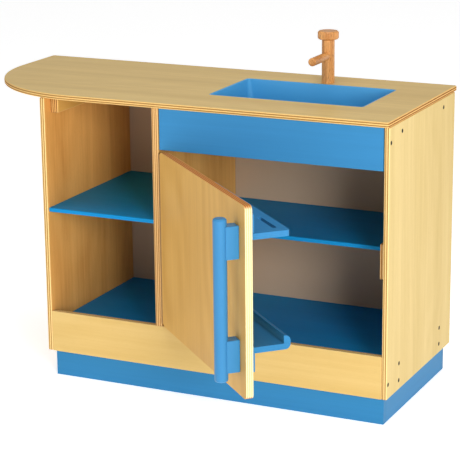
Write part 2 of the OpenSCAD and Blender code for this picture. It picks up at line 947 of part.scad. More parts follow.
module hinge_pin() {
    color("darkgoldenrod") in_cabinet() translate([axis_x, axis_y, hinge_bottom - pin_head]) {
        cylinder(d = barrel_diameter - 1, h = pin_head);
        cylinder(d = hinge_pin_diameter, h = hinge_top - hinge_bottom + pin_head);
    }
}

module hinge_fixed_screws() {
    color("dimgray") in_cabinet() at_fixed_leaf_screws()
        countersunk_screw(hinge_screw_shank, hinge_screw_head, hinge_screw_length);
}

module hinge_door_screws() {
    color("dimgray") on_door() at_door_leaf_screws()
        countersunk_screw(hinge_screw_shank, hinge_screw_head, hinge_screw_length);
}

// ---------- door stop ----------

module door_stop() {
    color("burlywood") in_cabinet() difference() {
        board([stop_left, stop_front, stop_middle - stop_height / 2],
              [inner_right, stop_front + stop_depth, stop_middle + stop_height / 2]);
        at_stop_screws()
            screw_hole(hinge_screw_shank, hinge_screw_head, stop_screw_length);
    }
}

module door_stop_screws() {
    color("dimgray") in_cabinet() at_stop_screws()
        countersunk_screw(hinge_screw_shank, hinge_screw_head, stop_screw_length);
}

worktop();
left_side_panel();
right_side_panel();
divider_panel();
back_panel();
floor_board();
front_rail();
fascia_panel();
left_shelf();
cupboard_shelf();
plinth_front();
plinth_back();
plinth_left();
plinth_right();
plinth_stretcher();
left_batten();
divider_batten();
right_batten();
fascia_batten();
left_panel_screws();
right_panel_screws();
batten_screws();
worktop_screws();
sink_basin();
sink_screws();
tap_post();
tap_spout();
tap_knob();
tap_washer();
tap_screw();
door_panel();
handle_bar();
handle_block_upper();
handle_block_lower();
handle_screws();
door_shelf();
door_shelf_strip();
door_tray();
door_tray_strip();
strip_screws();
hinge_fixed_leaf();
hinge_door_leaf();
hinge_pin();
hinge_fixed_screws();
hinge_door_screws();
door_stop();
door_stop_screws();
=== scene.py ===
"""Looks of the toy kitchen: birch plywood cabinet, blue boards, moulded sink, beech tap."""
import json
import math

import bmesh
import bpy
from mathutils import Matrix, Vector

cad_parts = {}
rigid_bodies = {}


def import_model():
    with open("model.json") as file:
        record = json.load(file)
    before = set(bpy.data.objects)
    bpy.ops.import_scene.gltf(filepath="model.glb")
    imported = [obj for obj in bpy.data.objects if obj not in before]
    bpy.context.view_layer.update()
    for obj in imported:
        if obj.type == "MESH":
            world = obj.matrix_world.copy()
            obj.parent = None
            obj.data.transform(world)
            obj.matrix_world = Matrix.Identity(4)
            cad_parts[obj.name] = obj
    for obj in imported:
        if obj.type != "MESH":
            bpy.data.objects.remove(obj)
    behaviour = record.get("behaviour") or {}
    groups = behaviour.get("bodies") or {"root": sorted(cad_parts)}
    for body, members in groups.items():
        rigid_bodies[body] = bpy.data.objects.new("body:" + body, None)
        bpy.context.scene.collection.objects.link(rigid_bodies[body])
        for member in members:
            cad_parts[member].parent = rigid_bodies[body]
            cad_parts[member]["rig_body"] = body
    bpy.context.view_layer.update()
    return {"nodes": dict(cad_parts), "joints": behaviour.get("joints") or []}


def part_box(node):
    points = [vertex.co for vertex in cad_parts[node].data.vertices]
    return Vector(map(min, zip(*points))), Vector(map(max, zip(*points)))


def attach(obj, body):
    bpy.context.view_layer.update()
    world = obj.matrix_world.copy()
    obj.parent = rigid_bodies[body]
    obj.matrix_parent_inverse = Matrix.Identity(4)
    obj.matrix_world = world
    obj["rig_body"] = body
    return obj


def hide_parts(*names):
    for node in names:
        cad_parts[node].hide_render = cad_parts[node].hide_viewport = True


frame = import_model()
NODES = frame["nodes"]
MM = 0.001

# ---------------------------------------------------------------- shader helpers


def tint(colour, factor, lift=0.0):
    return tuple(min(1.0, c * factor + lift) for c in colour)


def new_material(name):
    material = bpy.data.materials.new(name)
    material.use_nodes = True
    tree = material.node_tree
    tree.nodes.clear()
    out = tree.nodes.new("ShaderNodeOutputMaterial")
    shader = tree.nodes.new("ShaderNodeBsdfPrincipled")
    tree.links.new(shader.outputs["BSDF"], out.inputs["Surface"])
    return material, tree, shader


def math_node(tree, operation, a, b=None, c=None, clamp=False):
    n = tree.nodes.new("ShaderNodeMath")
    n.operation = operation
    n.use_clamp = clamp
    for i, v in enumerate((a, b, c)):
        if v is None:
            continue
        if isinstance(v, (int, float)):
            n.inputs[i].default_value = v
        else:
            tree.links.new(v, n.inputs[i])
    return n.outputs[0]


def mix_colour(tree, factor, a, b):
    """From a to b as the factor goes from 0 to 1. Each may be a value or another node's output."""
    n = tree.nodes.new("ShaderNodeMix")
    n.data_type = "RGBA"
    sockets = {s.identifier: s for s in n.inputs}
    for key, v in (("Factor_Float", factor), ("A_Color", a), ("B_Color", b)):
        s = sockets[key]
        if isinstance(v, (int, float)):
            s.default_value = v
        elif isinstance(v, tuple):
            s.default_value = (*v, 1.0)
        else:
            tree.links.new(v, s)
    return {s.identifier: s for s in n.outputs}["Result_Color"]


def overlay(tree, base, colour, where, strength):
    """The base with a colour laid over it where the texture is high."""
    return mix_colour(tree, math_node(tree, "MULTIPLY", where, strength), base, colour)


def weighted(tree, a, share_a, b, share_b):
    return math_node(tree, "MULTIPLY_ADD", a, share_a, math_node(tree, "MULTIPLY", b, share_b))


def ramp(tree, factor, stops):
    """Stops are (position, colour or grey)."""
    n = tree.nodes.new("ShaderNodeValToRGB")
    while len(n.color_ramp.elements) < len(stops):
        n.color_ramp.elements.new(0.5)
    for e, (pos, col) in zip(n.color_ramp.elements, stops):
        e.position = pos
        e.color = (*col, 1.0) if isinstance(col, tuple) else (col, col, col, 1.0)
    tree.links.new(factor, n.inputs["Fac"])
    return n.outputs["Color"]


def mapped(tree, vector, scale, offset=(0, 0, 0)):
    n = tree.nodes.new("ShaderNodeMapping")
    n.inputs["Scale"].default_value = scale
    n.inputs["Location"].default_value = offset
    tree.links.new(vector, n.inputs["Vector"])
    return n.outputs["Vector"]


def noise(tree, vector, scale=1.0, detail=3.0, roughness=0.5, distortion=0.0):
    n = tree.nodes.new("ShaderNodeTexNoise")
    n.inputs["Scale"].default_value = scale
    n.inputs["Detail"].default_value = detail
    n.inputs["Roughness"].default_value = roughness
    n.inputs["Distortion"].default_value = distortion
    tree.links.new(vector, n.inputs["Vector"])
    return n.outputs["Fac"]


def stretched(tree, at, stretch, detail, roughness=0.5, distortion=0.0, offset=(0, 0, 0)):
    """Noise with its own fineness along each of the three directions, in waves per metre."""
    return noise(tree, mapped(tree, at, stretch, offset), 1.0, detail, roughness, distortion)


def bump(tree, height, shader, strength, distance):
    n = tree.nodes.new("ShaderNodeBump")
    n.inputs["Strength"].default_value = strength
    n.inputs["Distance"].default_value = distance
    tree.links.new(height, n.inputs["Height"])
    tree.links.new(n.outputs["Normal"], shader.inputs["Normal"])


def vary_roughness(tree, shader, texture, low, spread):
    """Roughness from low to low + spread as the texture goes from 0 to 1."""
    tree.links.new(math_node(tree, "MULTIPLY_ADD", texture, spread, low),
                   shader.inputs["Roughness"])


def attribute(tree, name, output="Vector"):
    n = tree.nodes.new("ShaderNodeAttribute")
    n.attribute_type = "GEOMETRY"
    n.attribute_name = name
    return n.outputs[output]


def ply_layers(tree, at, thickness, plies):
    """Reads the plies through a board: 1 on cross plies, 1 on glue lines, 1 on any sawn edge."""
    stray = 0.4 * MM
    face_veneer = 0.25 * MM
    face_skin = 0.15 * MM
    fade = 0.4 * MM
    sep = tree.nodes.new("ShaderNodeSeparateXYZ")
    tree.links.new(at, sep.inputs[0])
    depth = math_node(tree, "MINIMUM", sep.outputs["Z"],
                      math_node(tree, "SUBTRACT", thickness, sep.outputs["Z"]))
    wobble = math_node(tree, "SUBTRACT", stretched(tree, at, (14, 14, 0), 3.0), 0.5)
    deep = math_node(tree, "MULTIPLY_ADD", wobble, stray, depth)
    turn = math_node(tree, "MULTIPLY", math_node(tree, "MAXIMUM", deep, face_veneer),
                     math.pi * plies / thickness)
    wave = math_node(tree, "SINE", turn)
    cross = math_node(tree, "MULTIPLY_ADD", wave, -3.0, 0.5, clamp=True)
    away = math_node(tree, "MULTIPLY", math_node(tree, "ABSOLUTE", wave), 4.0, clamp=True)
    sawn = math_node(tree, "MULTIPLY", math_node(tree, "SUBTRACT", depth, face_skin), 1 / fade,
                     clamp=True)
    glue = math_node(tree, "MULTIPLY", math_node(tree, "SUBTRACT", 1.0, away), sawn)
    return cross, glue, sawn


# ---------------------------------------------------------------- materials


def birch_ply(name, thickness, tones, edge, plies=5, figure=0.35):
    """Lacquered birch plywood: veneer figure on the faces, plies on the sawn edges.

    tones holds the veneer's light and dark. edge holds the plies cut along their grain (light,
    dark) and across it (light, dark)."""
    material, tree, shader = new_material(name)
    light, dark = tones
    side_light, side_dark, end_light, end_dark = edge
    at = attribute(tree, "board_at")
    cross, glue, sawn = ply_layers(tree, at, thickness, plies)
    broad = stretched(tree, at, (0.9, 13, 13), 2.0)
    streak = stretched(tree, at, (2.4, 110, 110), 4.0, 0.6, 0.1)
    fibre = stretched(tree, at, (30, 1100, 1100), 2.0, 0.6)
    bend = stretched(tree, at, (0.9, 3.4, 3.4), 1.5, 0.4, offset=(3.1, 0.4, 1.7))
    rings = math_node(tree, "SINE", math_node(tree, "MULTIPLY", bend, 120.0))
    tone = weighted(tree, streak, 0.40, broad, 0.60)
    tone = math_node(tree, "MULTIPLY_ADD", rings, 0.10 * figure, tone)
    tone = math_node(tree, "MULTIPLY_ADD", math_node(tree, "SUBTRACT", fibre, 0.5), 0.30, tone)
    face = ramp(tree, tone, [(0.28, dark), (0.74, light)])
    fleck = stretched(tree, at, (90, 700, 700), 1.0, offset=(0.3, 0.7, 0))
    fleck = ramp(tree, fleck, [(0.66, 0.0), (0.76, 1.0)])
    face = overlay(tree, face, tint(dark, 0.72), fleck, 0.22)
    hatch = stretched(tree, at, (420, 420, 420), 2.0, 0.6)

    def hatched(base):
        return mix_colour(tree, hatch, tint(base, 0.86), tint(base, 1.12))

    end = attribute(tree, "end_cut", "Fac")
    outer = mix_colour(tree, end, hatched(side_light), hatched(end_light))
    inner = mix_colour(tree, end, hatched(side_dark), hatched(end_dark))
    colour = mix_colour(tree, sawn, face, outer)
    colour = mix_colour(tree, cross, colour, inner)
    colour = overlay(tree, colour, tint(end_dark, 0.5), glue, 0.5)
    tree.links.new(colour, shader.inputs["Base Color"])
    lacquered = math_node(tree, "MULTIPLY_ADD", streak, 0.12, 0.36)
    tree.links.new(math_node(tree, "MULTIPLY_ADD", sawn, 0.35, lacquered),
                   shader.inputs["Roughness"])
    shader.inputs["Specular IOR Level"].default_value = 0.14
    bump(tree, weighted(tree, fibre, 0.6, streak, 0.6), shader, strength=0.10, distance=0.5 * MM)
    return material


def blue_ply(name, thickness, base, plies, edge_lines, roughness=0.32):
    """Blue stained and lacquered plywood: the plies show faintly on the edges."""
    material, tree, shader = new_material(name)
    at = attribute(tree, "board_at")
    cross, _, sawn = ply_layers(tree, at, thickness, plies)
    broad = stretched(tree, at, (1.5, 12, 12), 2.0)
    streak = stretched(tree, at, (3, 120, 120), 4.0, 0.6, 0.1)
    fibre = stretched(tree, at, (40, 1000, 1000), 2.0, 0.6)
    face = ramp(tree, weighted(tree, streak, 0.5, broad, 0.5),
                [(0.30, tint(base, 0.92)), (0.70, tint(base, 1.06))])
    colour = overlay(tree, face, tint(base, 0.60), sawn, edge_lines)
    colour = overlay(tree, colour, tint(base, 1.2, lift=0.02), cross, edge_lines)
    tree.links.new(colour, shader.inputs["Base Color"])
    vary_roughness(tree, shader, fibre, low=roughness - 0.05, spread=0.10)
    shader.inputs["Specular IOR Level"].default_value = 0.06
    bump(tree, weighted(tree, fibre, 0.5, streak, 0.5), shader, strength=0.06, distance=0.4 * MM)
    return material


def beech(name, light, dark):
    """Turned, oiled beech with its short dark rays."""
    material, tree, shader = new_material(name)
    at = attribute(tree, "board_at")
    streak = stretched(tree, at, (14, 190, 190), 4.0, 0.65, 0.3)
    broad = stretched(tree, at, (11, 60, 60), 3.0)
    body = ramp(tree, weighted(tree, streak, 0.5, broad, 0.5), [(0.34, dark), (0.66, light)])
    ray = stretched(tree, at, (120, 620, 620), 1.0, offset=(0.2, 0.1, 0.5))
    ray = ramp(tree, ray, [(0.56, 0.0), (0.66, 1.0)])
    tree.links.new(overlay(tree, body, tint(dark, 0.5), ray, 0.55), shader.inputs["Base Color"])
    vary_roughness(tree, shader, streak, low=0.34, spread=0.15)
    shader.inputs["Specular IOR Level"].default_value = 0.45
    shader.inputs["Coat Weight"].default_value = 0.15
    shader.inputs["Coat Roughness"].default_value = 0.25
    bump(tree, streak, shader, strength=0.15, distance=0.5 * MM)
    return material


def moulded_plastic(name, base):
    """Blue moulded plastic with a slight orange-peel surface."""
    material, tree, shader = new_material(name)
    coords = tree.nodes.new("ShaderNodeTexCoord").outputs["Object"]
    peel = noise(tree, coords, 420.0, 2.0)
    cloud = noise(tree, coords, 9.0, 2.0)
    tree.links.new(mix_colour(tree, cloud, tint(base, 0.95), tint(base, 1.05)),
                   shader.inputs["Base Color"])
    vary_roughness(tree, shader, cloud, low=0.24, spread=0.08)
    shader.inputs["Specular IOR Level"].default_value = 0.5
    bump(tree, peel, shader, strength=0.06, distance=0.3 * MM)
    return material


def painted(name, base):
    """Satin blue enamel over wood, with the grain just felt through it."""
    material, tree, shader = new_material(name)
    at = attribute(tree, "board_at")
    cloud = stretched(tree, at, (6, 22, 22), 2.0)
    grain = stretched(tree, at, (14, 420, 420), 3.0, 0.6)
    peel = stretched(tree, at, (500, 500, 500), 1.0)
    colour = mix_colour(tree, cloud, tint(base, 0.94), tint(base, 1.05))
    tree.links.new(overlay(tree, colour, tint(base, 0.8), grain, 0.14),
                   shader.inputs["Base Color"])
    vary_roughness(tree, shader, cloud, low=0.30, spread=0.08)
    shader.inputs["Specular IOR Level"].default_value = 0.22
    bump(tree, weighted(tree, peel, 0.4, grain, 0.5), shader, strength=0.05, distance=0.3 * MM)
    return material


def laminated_board(name, base):
    """Thin board with a dull, finely gritted face."""
    material, tree, shader = new_material(name)
    coords = tree.nodes.new("ShaderNodeTexCoord").outputs["Object"]
    cloud = noise(tree, coords, 5.0, 3.0)
    grit = noise(tree, coords, 900.0, 2.0, 0.6)
    colour = mix_colour(tree, cloud, tint(base, 0.95), tint(base, 1.04))
    tree.links.new(overlay(tree, colour, tint(base, 0.7), grit, 0.12),
                   shader.inputs["Base Color"])
    vary_roughness(tree, shader, grit, low=0.5, spread=0.1)
    bump(tree, grit, shader, strength=0.05, distance=0.3 * MM)
    return material


def worn_metal(name, base, roughness):
    """Metal with darker clouds and a brushed grain."""
    material, tree, shader = new_material(name)
    coords = tree.nodes.new("ShaderNodeTexCoord").outputs["Object"]
    cloud = noise(tree, coords, 160.0, 3.0, 0.6)
    grain = stretched(tree, coords, (1200, 1200, 300), 2.0, 0.6)
    tree.links.new(mix_colour(tree, cloud, tint(base, 0.6), base), shader.inputs["Base Color"])
    shader.inputs["Metallic"].default_value = 1.0
    vary_roughness(tree, shader, grain, low=roughness - 0.1, spread=0.2)
    bump(tree, grain, shader, strength=0.08, distance=0.2 * MM)
    return material


# the light and the dark of each veneer
PALE = ((0.765, 0.58, 0.245), (0.61, 0.43, 0.14))
CREAM = ((0.74, 0.53, 0.205), (0.64, 0.42, 0.13))
AMBER = ((0.90, 0.50, 0.15), (0.64, 0.29, 0.065))
TOP = ((0.88, 0.64, 0.26), (0.68, 0.455, 0.155))
HONEY = ((0.78, 0.475, 0.14), (0.64, 0.355, 0.085))
# painted shade: the door stop's birch is drawn as a deep brown, darker than the birch it is cut
# from, to stand in for the shade it sits in
STOP_PAINTED_SHADE = ((0.44, 0.24, 0.07), (0.36, 0.17, 0.04))
# plies on the edges: along the grain light and dark, across the grain light and dark
PANEL_EDGE = ((0.90, 0.66, 0.29), (0.44, 0.22, 0.05), (0.62, 0.36, 0.12), (0.45, 0.20, 0.05))
# the door's edges: the dark red-brown across the grain is partly the end grain's own darkness and
# partly painted shade, standing in for the fascia's shade on the door's top edge
DOOR_EDGE_AND_PAINTED_SHADE = ((0.97, 0.85, 0.49), (0.74, 0.52, 0.25), (0.72, 0.32, 0.09), (0.46, 0.14, 0.025))
DIVIDER_EDGE = ((0.84, 0.55, 0.24), (0.44, 0.19, 0.045), (0.62, 0.36, 0.12), (0.45, 0.20, 0.05))
# the worktop's edges: the outer plies are the light ones partly as painted highlight, so that the
# eased top corner shows bright; the battens share these plies
TOP_EDGE = ((0.86, 0.58, 0.22), (0.40, 0.19, 0.045), (0.82, 0.50, 0.18), (0.28, 0.10, 0.012))
BLUE = (0.045, 0.235, 0.48)
DEEP_BLUE = (0.007, 0.265, 0.62)

ply_side = birch_ply("birch_side", 12 * MM, PALE, PANEL_EDGE, figure=0.25)
ply_left = birch_ply("birch_left", 12 * MM, AMBER, PANEL_EDGE, figure=0.3)
# the worktop's light outer edge plies are partly a painted highlight on its eased top corner
ply_top = birch_ply("birch_worktop", 12 * MM, TOP, TOP_EDGE, figure=0.2)
ply_divider = birch_ply("birch_divider", 15 * MM, AMBER, DIVIDER_EDGE, plies=7, figure=0.2)
# the door's end-grain edges are darkened partly as painted shade
ply_door = birch_ply("birch_door", 15 * MM, HONEY, DOOR_EDGE_AND_PAINTED_SHADE, plies=7, figure=0.8)
ply_rail = birch_ply("birch_rail", 15 * MM, CREAM, PANEL_EDGE, plies=7, figure=0.5)
# the door stop's birch, darkened as painted shade
ply_stop_painted_shade = birch_ply("birch_stop_painted_shade", 12 * MM, STOP_PAINTED_SHADE, DIVIDER_EDGE)
ply_batten = birch_ply("birch_batten", 20 * MM, HONEY, TOP_EDGE, plies=9)
blue_shelf = blue_ply("blue_shelf", 9 * MM, DEEP_BLUE, plies=5, edge_lines=0.25, roughness=0.45)
blue_floor = blue_ply("blue_floor", 12 * MM, DEEP_BLUE, plies=7, edge_lines=0.25, roughness=0.45)
blue_12 = blue_ply("blue_twelve", 12 * MM, BLUE, plies=7, edge_lines=0.25)
blue_15 = blue_ply("blue_fifteen", 15 * MM, (0.036, 0.215, 0.44), plies=9, edge_lines=0.2)
painted_wood = painted("painted_wood", BLUE)
beech_wood = beech("beech", light=(0.92, 0.46, 0.15), dark=(0.52, 0.19, 0.038))
sink_plastic = moulded_plastic("sink_plastic", (0.075, 0.38, 0.70))
back_board = laminated_board("back_board", (0.54, 0.40, 0.28))
dark_screw = worn_metal("dark_screw", (0.020, 0.013, 0.006), roughness=0.6)
bronze = worn_metal("bronzed_hinge", (0.42, 0.24, 0.10), roughness=0.38)
zinc = worn_metal("zinc", (0.62, 0.63, 0.65), roughness=0.35)

# ---------------------------------------------------------------- geometry helpers

hinge = next(j for j in frame["joints"] if j["name"] == "door_hinge")
HINGE_AT = Vector(hinge["pos_m"])
OPEN_ANGLE = math.radians(hinge["range_deg"][1])
SHUT = (Matrix.Translation(HINGE_AT) @ Matrix.Rotation(OPEN_ANGLE, 4, "Z")
        @ Matrix.Translation(-HINGE_AT))
AXES = {"x": Vector((1, 0, 0)), "y": Vector((0, 1, 0)), "z": Vector((0, 0, 1))}
SAME_PLACE = 0.002 * MM
ON_PLANE = 0.02 * MM
FLAT = math.radians(0.6)


def body_of_node(node):
    return NODES[node]["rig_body"]


def upright(node):
    """The turn that squares a node up with the cabinet: the door's pieces are swung shut."""
    return SHUT if body_of_node(node) == "door" else Matrix.Identity(4)


def merged_copy(node):
    """The node's mesh with its doubled corners joined, squared up, in a bmesh."""
    bm = bmesh.new()
    bm.from_mesh(NODES[node].data)
    bmesh.ops.remove_doubles(bm, verts=bm.verts, dist=SAME_PLACE)
    bm.transform(upright(node))
    return bm


def cleaned_copy(node):
    """The same with each flat face as one face."""
    bm = merged_copy(node)
    bmesh.ops.dissolve_limit(bm, angle_limit=FLAT, verts=bm.verts, edges=bm.edges)
    bmesh.ops.recalc_face_normals(bm, faces=bm.faces)
    return bm


def limits(points):
    lo = Vector(min(p[i] for p in points) for i in range(3))
    hi = Vector(max(p[i] for p in points) for i in range(3))
    return lo, hi


def extent(bm):
    return limits([v.co for v in bm.verts])


def upright_box(node):
    """The node's low and high corner once it is squared up."""
    bm = cleaned_copy(node)
    corners = extent(bm)
    bm.free()
    return corners


def is_corner(edge, sharpness=1.0):
    """Holds for an edge whose two faces turn by more than the sharpness, in radians."""
    return len(edge.link_faces) == 2 and edge.calc_face_angle(0) > sharpness


def lies_at(edge, axis, level):
    return all(abs(v.co[axis] - level) < ON_PLANE for v in edge.verts)


def outer_edges(bm, lo, hi):
    """Sharp edges that lie on two of the board's outer planes."""
    return [e for e in bm.edges if is_corner(e)
            and sum(lies_at(e, i, end[i]) for i in range(3) for end in (lo, hi)) >= 2]


def rim_edges(bm, axis, lo, hi, keep):
    """Sharp edges of the two broad faces, where keep(point) holds for both ends."""
    i = "xyz".index(axis)
    return [e for e in bm.edges if is_corner(e)
            and (lies_at(e, i, lo[i]) or lies_at(e, i, hi[i]))
            and all(keep(v.co) for v in e.verts)]


def write_board_at(mesh, grain, across, through, lo, seed):
    """Stores where each point is in its board, and which faces are cut across the grain.

    The seed slides the figure along, so that no two boards look alike."""
    layer = mesh.attributes.new("board_at", "FLOAT_VECTOR", "POINT")
    g, c, t = AXES[grain], AXES[across], AXES[through]
    start = lo.dot(t)
    for v, item in zip(mesh.vertices, layer.data):
        item.vector = (v.co.dot(g) + seed * 3.7, v.co.dot(c) + seed * 1.3, v.co.dot(t) - start)
    ends = mesh.attributes.new("end_cut", "FLOAT", "FACE")
    for polygon, item in zip(mesh.polygons, ends.data):
        item.value = min(1.0, max(0.0, (abs(polygon.normal.dot(g)) - 0.35) / 0.5))


def put_on_body(piece, node):
    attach(piece, body_of_node(node))
    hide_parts(node)


def finish_piece(bm, name, node, material, axes=None, seed=0.0, smooth=35.0):
    """Makes the object, writes its board coordinates, swings it back and puts it on its body."""
    lo, _ = extent(bm)
    bmesh.ops.recalc_face_normals(bm, faces=bm.faces)
    mesh = bpy.data.meshes.new(name)
    bm.to_mesh(mesh)
    bm.free()
    if axes:
        write_board_at(mesh, *axes, lo, seed)
    mesh.transform(upright(node).inverted())
    mesh.materials.append(material)
    mesh.shade_smooth()
    mesh.set_sharp_from_angle(angle=math.radians(smooth))
    piece = bpy.data.objects.new(name, mesh)
    bpy.context.scene.collection.objects.link(piece)
    weighted_normals = piece.modifiers.new("Even shading", "WEIGHTED_NORMAL")
    weighted_normals.keep_sharp = True
    weighted_normals.weight = 100
    put_on_body(piece, node)


def eased_board(node, material, axes, ease, seed, rim=None, segments=3):
    """A board with its outer edges eased by so many millimetres.

    axes names the directions of the grain, across it and through the board. Where rim is given,
    the edges round the two broad faces are eased instead, at the points for which it holds."""
    bm = cleaned_copy(node)
    lo, hi = extent(bm)
    edges = rim_edges(bm, axes[2], lo, hi, rim) if rim else outer_edges(bm, lo, hi)
    bmesh.ops.bevel(bm, geom=edges, offset=ease * MM, offset_type="OFFSET", segments=segments,
                    profile=0.5, affect="EDGES", clamp_overlap=True, miter_outer="SHARP")
    finish_piece(bm, node + "_board", node, material, axes, seed)


def paint(node, material):
    """Gives a carried solid its material."""
    mesh = NODES[node].data
    mesh.materials.clear()
    mesh.materials.append(material)


def loose_parts(bm):
    """The points of each separate part, as one list per part."""
    seen, parts = set(), []
    for start in bm.verts:
        if start in seen:
            continue
        part, stack = [], [start]
        seen.add(start)
        while stack:
            v = stack.pop()
            part.append(v.co.copy())
            for e in v.link_edges:
                w = e.other_vert(v)
                if w not in seen:
                    seen.add(w)
                    stack.append(w)
        parts.append(part)
    return parts


def screw_tree():
    """Countersunk cross-head screws, one at each point and facing along its outward vector."""
    tree = bpy.data.node_groups.new("Driven screws", "GeometryNodeTree")
    tree.is_modifier = True
    tree.interface.new_socket("Places", in_out="INPUT", socket_type="NodeSocketGeometry")
    for name in ("Head radius", "Shank radius", "Length"):
        tree.interface.new_socket(name, in_out="INPUT", socket_type="NodeSocketFloat")
    tree.interface.new_socket("Finish", in_out="INPUT", socket_type="NodeSocketMaterial")
    tree.interface.new_socket("Screws", in_out="OUTPUT", socket_type="NodeSocketGeometry")
    new, link = tree.nodes.new, tree.links.new
    given, out = new("NodeGroupInput"), new("NodeGroupOutput")

    def calc(operation, a, b):
        return math_node(tree, operation, a, b)

    head, shank, length = (given.outputs[n] for n in ("Head radius", "Shank radius", "Length"))
    taper = calc("SUBTRACT", head, shank)

    def at_depth(geometry, z):
        place = new("GeometryNodeTransform")
        link(geometry, place.inputs["Geometry"])
        combine = new("ShaderNodeCombineXYZ")
        link(z, combine.inputs["Z"])
        link(combine.outputs[0], place.inputs["Translation"])
        return place.outputs["Geometry"]

    def cone(bottom, top, depth, sides):
        n = new("GeometryNodeMeshCone")
        n.inputs["Vertices"].default_value = sides
        for socket, value in (("Radius Top", top), ("Radius Bottom", bottom), ("Depth", depth)):
            if isinstance(value, (int, float)):
                n.inputs[socket].default_value = value
            else:
                link(value, n.inputs[socket])
        return n.outputs["Mesh"]

    body = new("GeometryNodeJoinGeometry")
    cap = at_depth(cone(shank, head, taper, 20), calc("MULTIPLY", taper, -1.0))
    point = calc("MULTIPLY", shank, 1.5)
    run = calc("SUBTRACT", calc("SUBTRACT", length, taper), point)
    stem = at_depth(cone(shank, shank, run, 12), calc("SUBTRACT", point, length))
    tip = at_depth(cone(0.2 * MM, shank, point, 12), calc("MULTIPLY", length, -1.0))
    # the cross recess: two crossing bars, one a little deeper than the other
    for long_side, other_side, deep in (("X", "Y", 1.30), ("Y", "X", 1.22)):
        bar = new("GeometryNodeMeshCube")
        size = new("ShaderNodeCombineXYZ")
        link(calc("MULTIPLY", head, 1.2), size.inputs[long_side])
        link(calc("MULTIPLY", head, 0.22), size.inputs[other_side])
        link(calc("MULTIPLY", taper, deep), size.inputs["Z"])
        link(size.outputs[0], bar.inputs["Size"])
        cut = new("GeometryNodeMeshBoolean")
        cut.operation = "DIFFERENCE"
        link(cap, cut.inputs["Mesh 1"])
        link(bar.outputs["Mesh"], cut.inputs["Mesh 2"])
        cap = cut.outputs["Mesh"]
    link(cap, body.inputs["Geometry"])
    link(stem, body.inputs["Geometry"])
    link(tip, body.inputs["Geometry"])

    outward = new("GeometryNodeInputNamedAttribute")
    outward.data_type = "FLOAT_VECTOR"
    outward.inputs["Name"].default_value = "outward"
    turn = new("FunctionNodeAlignRotationToVector")
    turn.axis = "Z"
    link(outward.outputs["Attribute"], turn.inputs["Vector"])
    drive = new("GeometryNodeInstanceOnPoints")
    link(given.outputs["Places"], drive.inputs["Points"])
    link(body.outputs["Geometry"], drive.inputs["Instance"])
    link(turn.outputs["Rotation"], drive.inputs["Rotation"])
    real = new("GeometryNodeRealizeInstances")
    link(drive.outputs["Instances"], real.inputs["Geometry"])
    finish = new("GeometryNodeSetMaterial")
    link(real.outputs["Geometry"], finish.inputs["Geometry"])
    link(given.outputs["Finish"], finish.inputs["Material"])
    link(finish.outputs["Geometry"], out.inputs["Screws"])
    return tree



def driven_at(part):
    """Where a screw's head sits, which way it faces and how long the screw is."""
    lo, hi = limits(part)
    span = hi - lo
    axis = max(range(3), key=lambda i: span[i])
    middle = (lo + hi) / 2

    def spread(end):
        near = [p for p in part if abs(p[axis] - end) < 0.2 * MM]
        return max(Vector(p[i] - middle[i] for i in range(3) if i != axis).length for p in near)

    head_is_high = spread(hi[axis]) > spread(lo[axis])
    place = middle.copy()
    place[axis] = hi[axis] if head_is_high else lo[axis]
    direction = Vector((0, 0, 0))
    direction[axis] = 1 if head_is_high else -1
    return place, direction, span[axis]


def drive_screws(tree, node, head_radius, shank_radius):
    """Puts a screw wherever the node has one, with the same length and direction."""
    bm = merged_copy(node)
    places, directions, lengths = zip(*(driven_at(part) for part in loose_parts(bm)))
    bm.free()
    mesh = bpy.data.meshes.new(node + "_places")
    mesh.from_pydata(places, [], [])
    layer = mesh.attributes.new("outward", "FLOAT_VECTOR", "POINT")
    for item, direction in zip(layer.data, directions):
        item.vector = direction
    holder = bpy.data.objects.new(node + "_places", mesh)
    bpy.context.scene.collection.objects.link(holder)
    modifier = holder.modifiers.new("Driven screws", "NODES")
    modifier.node_group = tree
    sockets = {i.name: i.identifier for i in tree.interface.items_tree if i.in_out == "INPUT"}
    for name, value in (("Head radius", head_radius), ("Shank radius", shank_radius),
                        ("Length", max(lengths)), ("Finish", dark_screw)):
        modifier[sockets[name]] = value
    bpy.context.view_layer.update()
    depsgraph = bpy.context.evaluated_depsgraph_get()
    made = bpy.data.meshes.new_from_object(holder.evaluated_get(depsgraph))
    bpy.data.objects.remove(holder)
    made.name = node + "_set"
    made.transform(upright(node).inverted())
    made.shade_smooth()
    made.set_sharp_from_angle(angle=math.radians(40))
    piece = bpy.data.objects.new(node + "_set", made)
    bpy.context.scene.collection.objects.link(piece)
    put_on_body(piece, node)


# ---------------------------------------------------------------- cabinet

WORKTOP_CURVE = 280 * MM

sink_lo, sink_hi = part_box("sink_basin")
worktop_lo, worktop_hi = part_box("worktop")


def on_worktop_rim(p):
    """Holds on the worktop's outline with its curve at the front left, not at the sink's hole."""
    near = 4 * MM
    if sink_lo.x - MM < p.x < sink_hi.x + MM and sink_lo.y - MM < p.y < sink_hi.y + MM:
        return False
    if min(abs(p.x - worktop_lo.x), abs(p.x - worktop_hi.x),
           abs(p.y - worktop_lo.y), abs(p.y - worktop_hi.y)) < near:
        return True
    centre = Vector((worktop_lo.x + WORKTOP_CURVE, worktop_lo.y + WORKTOP_CURVE))
    on_curve = abs((p.xy - centre).length - WORKTOP_CURVE) < near
    return on_curve and p.x < centre.x and p.y < centre.y


